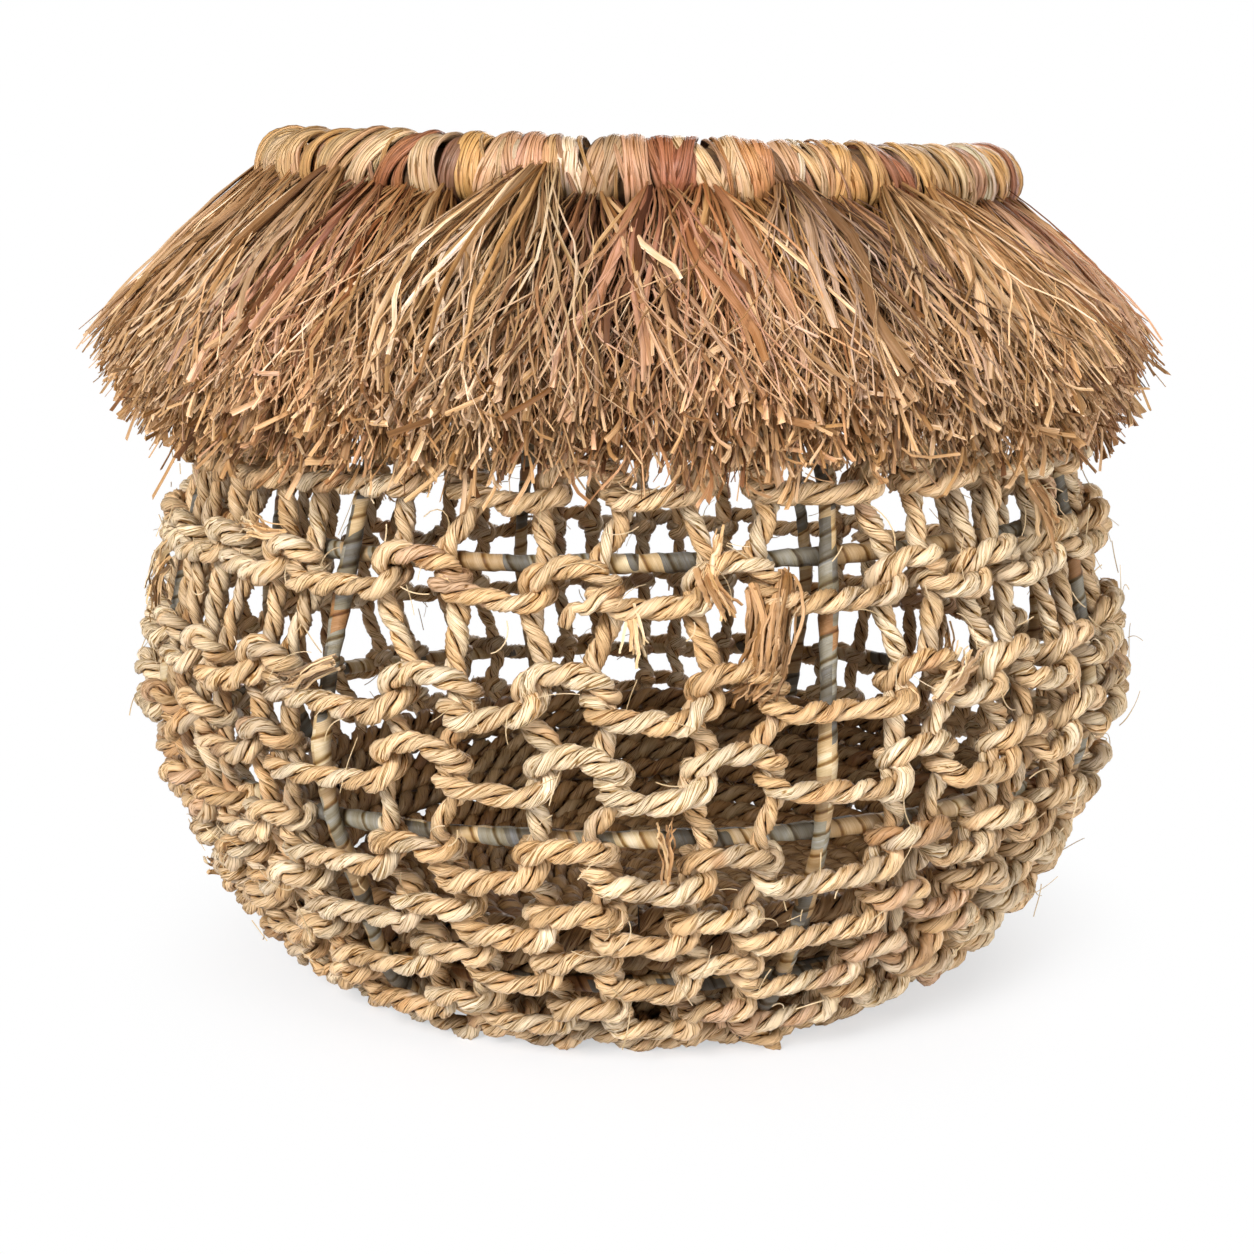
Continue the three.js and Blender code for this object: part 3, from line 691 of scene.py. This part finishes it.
points, _ = on_wall(
    angle + np.degrees(reach * np.cos(heading) / SIDE_RADIUS), level + reach * np.sin(heading),
    HAIR_LIFT + 0.3 * reach * rng.normal(0, 1, (HAIRS, 1)))
tails.append((blades(points, np.full((HAIRS, 1), HAIR_WIDTH), angle, 0, 0.8),
              np.tile(CREAM, (HAIRS, 1))[:, None, None] * 0.9))
leaf_piece("net_loose_ends", tails)
curl = from_anchor(-2.5, 0.2155, [(2, 3, 9), (-5, 1, 13), (-10, -4, 15), (-15, -4, 13), (-19, -11, 12)])
cut_end = from_anchor(18.5, 0.014, [(-8, 1, 6), (0, 0, 9), (6, -2, 11), (10, -3, 11)])
ROPE_ENDS = ((curl, 0.0056), (cut_end, 0.0098))
rope_piece("net_rope_ends", [
    laid_rope(end, unit(end * (1, 1, 0)), False, 0.02, thickness)
    for end, thickness in ROPE_ENDS], "net_rope")

# Rim: a thick roll of wire and bundled fibre, wound side by side with folded strips of dried
# leaf sheath, from cream and gold to red and purple brown. The strips bulge like small barrels.
RIM_RADIUS = 0.162
RIM_LEVEL = 0.3738
RIM_ASKEW = 0.0036
ROLL_RADIUS = 0.0108
bpy.ops.object.select_all(action="DESELECT")
bpy.ops.mesh.primitive_torus_add(location=(0, 0, RIM_LEVEL), major_radius=RIM_RADIUS,
                                 minor_radius=ROLL_RADIUS, major_segments=144, minor_segments=20)
core = bpy.context.object
core.name = "rim_core_roll"
bpy.ops.object.transform_apply(location=True, rotation=True, scale=True)
bpy.ops.object.shade_smooth()
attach(core, "root")
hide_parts("rim_core")

bundle = Finish("fibre_bundle", Roughness=0.85)
place = bundle.node("ShaderNodeTexCoord", None, None, 3)
fuzz = bundle.noise(place, 260.0, 3.0)
bundle.feed("Base Color", bundle.node("ShaderNodeValToRGB", {"stops": [
    (0.3, dye(58, 40, 26)), (0.7, dye(112, 82, 52))]}, {"Fac": fuzz}))
bundle.bump(fuzz, 0.5, 0.001)
core.data.materials.append(bundle.material)

SHEATHS = {
    "straw": dye(222, 182, 136), "gold": dye(218, 170, 114), "cream": dye(236, 200, 160),
    "pale": dye(238, 216, 190), "amber": dye(208, 150, 102), "rose": dye(212, 164, 132),
    "russet": dye(190, 130, 94), "brick": dye(172, 112, 84), "plum": dye(150, 110, 92),
    "umber": dye(140, 104, 76), "taupe": dye(186, 152, 122)}
# The front's barrels by the angle where each starts; the back's are drawn by their shares.
FRONT_BARRELS = (
    (-78, "straw"), (-70, "cream"), (-62, "straw"), (-55, "gold"), (-49, "straw"), (-43, "cream"),
    (-37, "russet"), (-32, "cream"), (-27, "plum"), (-24, "gold"), (-21, "cream"), (-17.5, "rose"),
    (-12.5, "straw"), (-10, "pale"), (-7, "taupe"), (-2, "rose"), (1.5, "brick"), (7.5, "cream"),
    (10.5, "cream"), (13.5, "amber"), (17.5, "umber"), (19.5, "rose"), (23, "straw"), (26.5, "gold"),
    (30, "umber"), (32, "gold"), (35, "brick"), (38.5, "plum"), (41, "gold"), (44, "straw"),
    (47, "gold"), (50, "cream"), (53, "rose"), (57, "pale"), (62, "gold"), (67, "russet"),
    (72, "gold"))
BACK_SHARES = (0.20, 0.17, 0.15, 0.05, 0.10, 0.08, 0.08, 0.05, 0.03, 0.03, 0.06)
BACK_FROM, BACK_TO = 78.0, 278
BACK_WIDTHS = (3.2, 6.5)
ROLL_STEPS = 28
STRIP_WIDTH = 0.0070
STRIP_RISE = 0.0102
THIN_STRIPS = 110
THIN_RISE = 0.0130
THIN_WIDTHS = (0.0008, 0.0030)
MOST_BULGE = 0.0026
# A strip's section in its own widths and thicknesses.
BARREL_LENS = np.array([(0.5, -0.30), (0.47, 0.30), (0.25, 0.80), (0.0, 1.0), (-0.25, 0.80),
                        (-0.47, 0.30), (-0.5, -0.30), (0.0, -0.5)])

sheath = Finish("dried_leaf_sheath", Roughness=0.36)
across, along = sheath.lay()
ribs = sheath.noise(sheath.at(across * 22, along * 14), 1.0, 4.0, 0.7)
folds = sheath.noise(sheath.at(across * 7 + along * 22, along * 16, 2.0), 1.0, 2.0)
stain = sheath.noise(sheath.at(across * 2, along * 48, 4.0), 1.0, 2.0)
specks = sheath.noise(sheath.at(across * 26, along * 260, 6.0), 1.0, 1.0)
# Painted shade: thin dark lines along the folds of the strips.
fold_shade = folds.line(0.030)
shade = ((0.30 + 0.74 * ribs + 0.44 * folds) * (1 - 0.60 * fold_shade) * (0.70 + 0.52 * stain)
         * (1 - 0.5 * specks.between(0.70, 0.76)))
redder = sheath.blend(1.0, sheath.tint(), (0.80, 0.58, 0.44, 1), "MULTIPLY")
tone = sheath.blend(stain.between(0.54, 0.74) * 0.6, sheath.tint(), redder)
sheath.feed("Base Color", sheath.blend(1.0, tone, sheath.dusk(shade), "MULTIPLY"))
sheath.bump(ribs * 0.9 + folds * 0.9 - fold_shade, 0.9, 0.0012)


def rim_level(angle):
    """The rim is tied on askew: a little high at the left and low at the right."""
    return RIM_LEVEL + 0.0008 - RIM_ASKEW * np.sin(np.radians(angle))


def sheath_ring(angle, width, rise, thick, slant, tilt):
    """A strip once round the roll, aslant, as rings of its lens-shaped section. Its two ends
    meet low inside."""
    turn = np.linspace(0, 2 * np.pi, ROLL_STEPS, endpoint=False) + 1.25 * np.pi
    ripple = rng.uniform(0, 2 * np.pi, 3)
    along_rim = angle + slant * np.sin(turn)
    out = around(np.cos(turn), along_rim, np.sin(turn))
    side = around(-1.0, along_rim + 90, 0.0)
    middle = around(RIM_RADIUS, along_rim, rim_level(along_rim))
    narrow = (1 - 0.10 * np.cos(turn) + 0.20 * np.sin(turn + ripple[0])
              + 0.12 * np.sin(3 * turn + ripple[1]))
    lift = rise + 0.0006 * np.sin(3 * turn + ripple[2])
    height = lift[:, None] + thick * BARREL_LENS[:, 1] + tilt * width * BARREL_LENS[:, 0]
    return (middle[:, None] + height[..., None] * out[:, None]
            - (width * narrow[:, None] * BARREL_LENS[:, 0])[..., None] * side[:, None])


barrels = list(FRONT_BARRELS)
tones = list(SHEATHS)
angle = BACK_FROM
while angle < BACK_TO:
    barrels.append((angle, rng.choice(tones, p=BACK_SHARES)))
    angle += rng.uniform(*BACK_WIDTHS)
# A barrel is a few strips side by side under one bulge. Thin torn strips lie over them all round.
rings, tints = [], []
stops = [start for start, _ in barrels[1:]] + [FRONT_BARRELS[0][0] + 360]
for (start, tone), stop in zip(barrels, stops):
    width = math.radians(stop - start) * (RIM_RADIUS + 0.006)
    lean = -2.1 * math.sin(math.radians(1.5 * start + 15)) + rng.normal(0, 0.7)
    count = 1 + round(width / STRIP_WIDTH)
    bulge = min(MOST_BULGE, 0.16 * width)
    for k in range(count):
        place = (k + 0.5) / count - 0.5
        strip = width * 1.4 / count ** 0.8 * rng.uniform(0.7, 1.25)
        rise = STRIP_RISE + bulge * (1 - (2 * place) ** 2) + rng.uniform(0, 0.0024)
        rings.append(sheath_ring((start + stop) / 2 + place * (stop - start) * 0.80, strip, rise,
                                 0.0010 + 0.08 * strip, lean + rng.normal(0, 1.0),
                                 rng.normal(0, 0.18))[None])
        tints.append(np.array(SHEATHS[tone]) * rng.uniform(0.82, 1.14) * (1 + rng.normal(0, 0.03, 3)))
for _ in range(THIN_STRIPS):
    strip = rng.uniform(*THIN_WIDTHS)
    rings.append(sheath_ring(rng.uniform(0, 360), strip, THIN_RISE + rng.uniform(0, 0.0012), 0.0006,
                             rng.normal(-1.2, 1.2), 0.0)[None])
    tints.append(np.array(SHEATHS[rng.choice(tones[:6])]) * rng.uniform(0.8, 1.1))
winding = build("rim_winding", rings, True, tints)
winding.data.materials.append(sheath.material)
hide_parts("rim_wrap")

# Fringe: hands of leaf strip and loose fibre are tied side by side under the rim. They flare
# out over the shoulder of the net, steeper on the right, and are chopped off all round.
# HANDS has each hand's angle and tone; a hand with a high neck is tied higher and leans aside.
HANDS = {
    -72: "straw", -64: "straw", -58: "gold", -51: "ash", -45: "straw", -38.5: "russet", -33: "amber",
    -28: "gold", -19: "ash", -12.5: "pale", -6: "umber", 2.4: "russet", 8.5: "amber", 14: "gold",
    19.5: "taupe", 27: "umber", 35.5: "straw", 44: "gold", 50: "straw", 59: "umber", 67: "russet"}
HIGH_NECKS = {-45: (0.007, -3), -12.5: (0.013, -5), 2.4: (0.004, 1), 8.5: (0.004, 0), 19.5: (0.007, 2),
              35.5: (0.006, 4), 44: (0.004, 2)}
BACK_HANDS = 24
BACK_HANDS_FROM = 75
BACK_HANDS_SPAN = 205
for extra in range(BACK_HANDS):
    HANDS[BACK_HANDS_FROM + extra * BACK_HANDS_SPAN / (BACK_HANDS - 1)] = rng.choice(
        ["straw", "gold", "russet", "ash", "taupe", "pale", "amber", "umber"],
        p=(0.26, 0.14, 0.12, 0.10, 0.14, 0.08, 0.06, 0.10))
LEAVES = {
    "straw": (dye(229, 190, 148), dye(213, 171, 129), dye(191, 150, 112)),
    "pale": (dye(241, 213, 180), dye(225, 190, 154), dye(201, 163, 128)),
    "gold": (dye(223, 176, 128), dye(207, 157, 110), dye(229, 188, 144)),
    "amber": (dye(211, 152, 109), dye(193, 133, 94), dye(217, 171, 129)),
    "russet": (dye(191, 135, 105), dye(169, 113, 90), dye(205, 157, 126)),
    "umber": (dye(164, 119, 92), dye(183, 140, 109), dye(138, 99, 79)),
    "taupe": (dye(167, 136, 116), dye(144, 115, 100), dye(189, 156, 131)),
    "ash": (dye(201, 171, 142), dye(215, 186, 155), dye(177, 148, 124))}
TUFT_COUNT = 24
TUFT_FIRST = 3
TUFT_SPACING = 15
KNOT_LEVEL = 0.3655
KNOT_REACH = 0.0140
CUT_RADIUS = 0.2465
CUT_LEVEL = 0.298
LAYERS_IN = 0.021
LAYERS_DOWN = 0.039
FRINGE_BOW = 0.0080
STATIONS = 9
CHIP_STATIONS = 4
CHIP_RADIUS = 0.24
WISPS = 8
FAN_EDGE = 1.15
MOST_STRAY = 4.5
# DUSK turns the strands' brightness, painted shade included, browner where it is dark.
DUSK = np.array((1.0, 1.36, 2.1))
# Locks of strands, wide to fine: their count, widths, layer, spread in degrees, raggedness, wander
# and the share of them with a bent end. Chips: their count, lengths and widths.
LOCKS = ((4, (0.0036, 0.0060), (0.2, 0.9), 7, 0.12, 0.5, 0.3),
         (20, (0.0022, 0.0044), (0.0, 0.9), 9, 0.16, 1.2, 0.3),
         (90, (0.0011, 0.0022), (0.0, 1.0), 9.5, 0.12, 1.5, 0.5),
         (210, (0.0005, 0.0011), (0.0, 1.0), 10.5, 0.09, 1.6, 0.5))
PALE_LOCK = (9, (0.0005, 0.0010), (0.0, 0.3), 12, 0.14, 2.2, 0.7)
CHIPS = ((70, (0.005, 0.015), (0.0006, 0.0028)), (10, (0.009, 0.022), (0.0014, 0.0036)))


def skirt(hand, share, depth, fan, spread):
    """Places on one hand's leaves: share runs from its knot to the cut, depth is 0 on top and
    1 next to the net."""
    sideways = math.sin(math.radians(hand))
    left, right = np.clip((np.array((-sideways, sideways)) - 0.45) / 0.5, 0, 1)
    neck, lean = HIGH_NECKS.get(hand, (0, 0))
    start_z = (KNOT_LEVEL + 0.007 * left + neck * (1 - depth) - 0.010 * depth
               + rng.normal(0, 0.0016, depth.shape))
    rim_reach = np.sqrt(np.maximum(KNOT_REACH ** 2 - (start_z - RIM_LEVEL) ** 2, 0.004 ** 2))
    start_r = RIM_RADIUS + rim_reach - 0.003 * depth
    end_r = CUT_RADIUS - 0.0065 * sideways - 0.0025 * right - (LAYERS_IN - 0.004 * right) * depth
    end_z = CUT_LEVEL - 0.005 * right - LAYERS_DOWN * depth
    bow = 4 * share * (1 - share) * (FRINGE_BOW - 0.0045 * left - 0.0030 * right - 0.004 * depth)
    root = 1.5 if hand in HIGH_NECKS else 2.0
    return (hand + lean * share ** 0.7 + fan * (root + (spread - root) * share ** 0.85),
            start_r + (end_r - start_r) * share + 0.65 * bow,
            start_z - RIM_ASKEW * sideways * (1 - share) + (end_z - start_z) * share + 0.75 * bow)


def leaf_tints(tone, count, depth, share, own_share=0.84):
    """Each strand takes a tone of its hand or plain straw, paler at its tip, with painted shade: darker
    below, under the other strands, and near the knot under the rim.
    """
    own = np.array(LEAVES[tone])[rng.integers(0, 3, count)]
    plain = np.array(LEAVES["straw"])[rng.integers(0, 3, count)]
    base = np.where(rng.uniform(size=(count, 1)) < own_share, own, plain)
    bright = rng.normal(0.98, 0.34, (count, 1)).clip(0.25, 1.25)
    # Painted shade: strands deeper in the hand, under the others, are darker, less so towards the tip.
    bright = bright * (1 - 0.78 * depth * (1 - 0.62 * share ** 2))
    # Painted shade: strands are darker near the knot, in the shadow under the rim.
    root = 0.52 + 0.48 * np.clip(share / 0.3, 0, 1)
    tip = 0.42 * share[..., None] ** 2
    colour = base[:, None] * (1 - tip) + np.array(LEAVES["straw"][0]) * tip
    return (colour * (bright * root)[..., None] ** DUSK)[:, :, None]


def hand_wisps():
    """A hand parts into wisps: the place of each in its fan, its drift, its droop, its brightness."""
    places = np.linspace(-FAN_EDGE, FAN_EDGE, WISPS) + rng.normal(0, 0.09, WISPS)
    return np.stack([places, rng.normal(0, 1.3, WISPS), rng.normal(0, 0.0024, WISPS),
                     rng.uniform(0.68, 1.10, WISPS)])


def lock(hand, tone, wisps, count, width, layer, spread, ragged, wander, bend):
    """Strands of one hand, from its knot under the rim to the cut."""
    share = np.linspace(0, 1, STATIONS)[None]
    depth = rng.uniform(*layer, (count, 1))
    place, drift, droop, light = wisps[:, rng.integers(0, WISPS, count), None]
    fan = place + rng.normal(0, 0.13, (count, 1))
    reach = share * (1 - np.abs(rng.normal(0, ragged, (count, 1)))).clip(0.45, 1.0)
    angle, radius, height = skirt(hand, reach, depth, fan, spread)
    stray = (1.15 * wander * rng.standard_t(4, (count, 1))).clip(-MOST_STRAY, MOST_STRAY)
    angle = angle + rng.normal(0, 0.3, (count, 1)) + (drift + stray) * share
    angle = angle + 0.8 * wander * share ** 0.6 * np.sin(
        rng.uniform(0, 6.3, (count, 1)) + share * rng.uniform(4, 11, (count, 1)))
    angle = angle + np.cumsum(rng.normal(0, 0.25, (count, STATIONS)), 1) * share * wander
    radius = radius + (droop + np.cumsum(rng.normal(0, 0.0006, (count, STATIONS)), 1) * wander) * share
    height = height + (droop + np.cumsum(rng.normal(0, 0.0007, (count, STATIONS)), 1) * wander) * share
    after = (share - rng.uniform(0.45, 0.85, (count, 1))).clip(0) * (rng.uniform(size=(count, 1)) < bend)
    angle = angle + after * rng.normal(0, 8, (count, 1)).clip(-12, 12) * wander
    radius = radius + after * rng.normal(0, 0.008, (count, 1)).clip(-0.012, 0.008) * wander
    size = rng.uniform(*width, (count, 1)) * (0.70 + 1.3 * share * (1 - share) + 0.15 * share)
    size = size * rng.uniform(0.8, 1.15, (count, STATIONS))
    roll = rng.uniform(-1.0, 1.0, (count, 1)) + rng.normal(0, 0.7, (count, 1)) * share
    tint = leaf_tints(tone, count, depth, share) * light[..., None, None]
    return blades(around(radius, angle, height), size, roll), tint


def chips(hand, tone, count, long, wide):
    """Split ends that stick out every way from the lower part of a hand."""
    share = np.linspace(0, 1, CHIP_STATIONS)[None]
    depth = rng.uniform(0, 1, (count, 1))
    angle, radius, height = skirt(hand, rng.uniform(0.68, 1.0, (count, 1)), depth,
                                  rng.normal(0, 0.55, (count, 1)).clip(-1.1, 1.1), 10)
    length = rng.uniform(*long, (count, 1)) * share
    yaw, pitch = rng.normal(0, 0.5, (count, 1)), rng.normal(-1.0, 0.45, (count, 1))
    curl = rng.normal(0, 0.5, (count, 1)) * share * length
    sideways = length * np.cos(pitch) * np.sin(yaw) + curl
    line = around(radius - 0.004 + length * np.cos(pitch) * np.cos(yaw),
                  angle + rng.normal(0, 1, (count, 1)) + np.degrees(sideways / CHIP_RADIUS),
                  height + length * np.sin(pitch) + 0.4 * curl)
    size = rng.uniform(*wide, (count, 1)) * (0.8 + 0.3 * share)
    # Painted shade: chips deeper in the hand are darker.
    tint = leaf_tints(tone, count, 0.1 + 0.6 * depth, 0.8 + 0.2 * share, 0.5)
    return blades(line, size, rng.uniform(-1.5, 1.5, (count, 1))), tint


tufts = [[] for _ in range(TUFT_COUNT)]
for hand, tone in HANDS.items():
    wisps = hand_wisps()
    tuft = tufts[round((hand - TUFT_FIRST) / TUFT_SPACING) % TUFT_COUNT]
    tuft += [lock(hand, tone, wisps, *values) for values in LOCKS]
    tuft.append(lock(hand, "pale", wisps, *PALE_LOCK))
    tuft += [chips(hand, tone, *values) for values in CHIPS]
for i, tuft in enumerate(tufts):
    leaves = leaf_piece(f"tuft_{i + 1:02d}_leaves", tuft)
    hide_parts(f"tuft_{i + 1:02d}")

# Floor and studio: a pale floor and a white room, a soft lamp at each side of the front, the
# left one the strongest, and one behind. The floor glows white but for the basket's shadow.
FLOOR_GLOW = 0.55
SHADOW_EDGE = (0.14, 0.27)
ROOM_LIGHT = 0.14
LAMP_AIM = np.array((0.0, 0.0, 0.18))
bpy.ops.object.select_all(action="DESELECT")
bpy.ops.mesh.primitive_plane_add(size=12, location=(0, 0, 0))
floor = bpy.context.object
floor.name = "studio_floor"
ground = Finish("pale_floor", Roughness=0.9, Base_Color=(0.90, 0.91, 0.94, 1), Specular_IOR_Level=0.0)
place = ground.node("ShaderNodeTexCoord", None, None, 3)
distance = ground.node("ShaderNodeVectorMath", {"operation": "LENGTH"}, {0: place}, 1)
seen = ground.node("ShaderNodeLightPath")
glow = ground.node("ShaderNodeEmission", None, {"Color": (1, 1, 1, 1), "Strength": 1.0})
fade = (FLOOR_GLOW + (1 - FLOOR_GLOW) * distance.between(*SHADOW_EDGE)) * seen
mixed = ground.node("ShaderNodeMixShader", None, {0: fade, 2: glow})
ground.tree.links.new(ground.shader.outputs[0], mixed.socket.node.inputs[1])
ground.tree.links.new(mixed.socket, ground.tree.nodes["Material Output"].inputs[0])
floor.data.materials.append(ground.material)

world = bpy.data.worlds.new("white_studio")
bpy.context.scene.world = world
world.use_nodes = True
tree = world.node_tree
room = tree.nodes["Background"]
room.inputs[0].default_value = (1, 1, 1, 1)
room.inputs[1].default_value = ROOM_LIGHT
path = tree.nodes.new("ShaderNodeLightPath")
white = tree.nodes.new("ShaderNodeBackground")
white.inputs[0].default_value = (1, 1, 1, 1)
either = tree.nodes.new("ShaderNodeMixShader")
tree.links.new(path.outputs["Is Camera Ray"], either.inputs[0])
tree.links.new(room.outputs[0], either.inputs[1])
tree.links.new(white.outputs[0], either.inputs[2])
tree.links.new(either.outputs[0], tree.nodes["World Output"].inputs[0])

for name, place, size, power in (("left_lamp", (-0.9, -1.85, 1.35), 0.8, 66),
                                 ("right_lamp", (1.6, -1.4, 0.8), 1.0, 26),
                                 ("back_lamp", (0.6, 2.0, 0.9), 1.4, 32)):
    lamp = bpy.data.lights.new(name, "AREA")
    lamp.energy = power
    lamp.size = size
    stand = bpy.data.objects.new(name, lamp)
    stand.location = place
    aim = LAMP_AIM - place
    stand.rotation_euler = (math.atan2(math.hypot(aim[0], aim[1]), -aim[2]), 0,
                            math.atan2(-aim[0], aim[1]))
    bpy.context.scene.collection.objects.link(stand)

bpy.context.scene.view_settings.view_transform = "Standard"
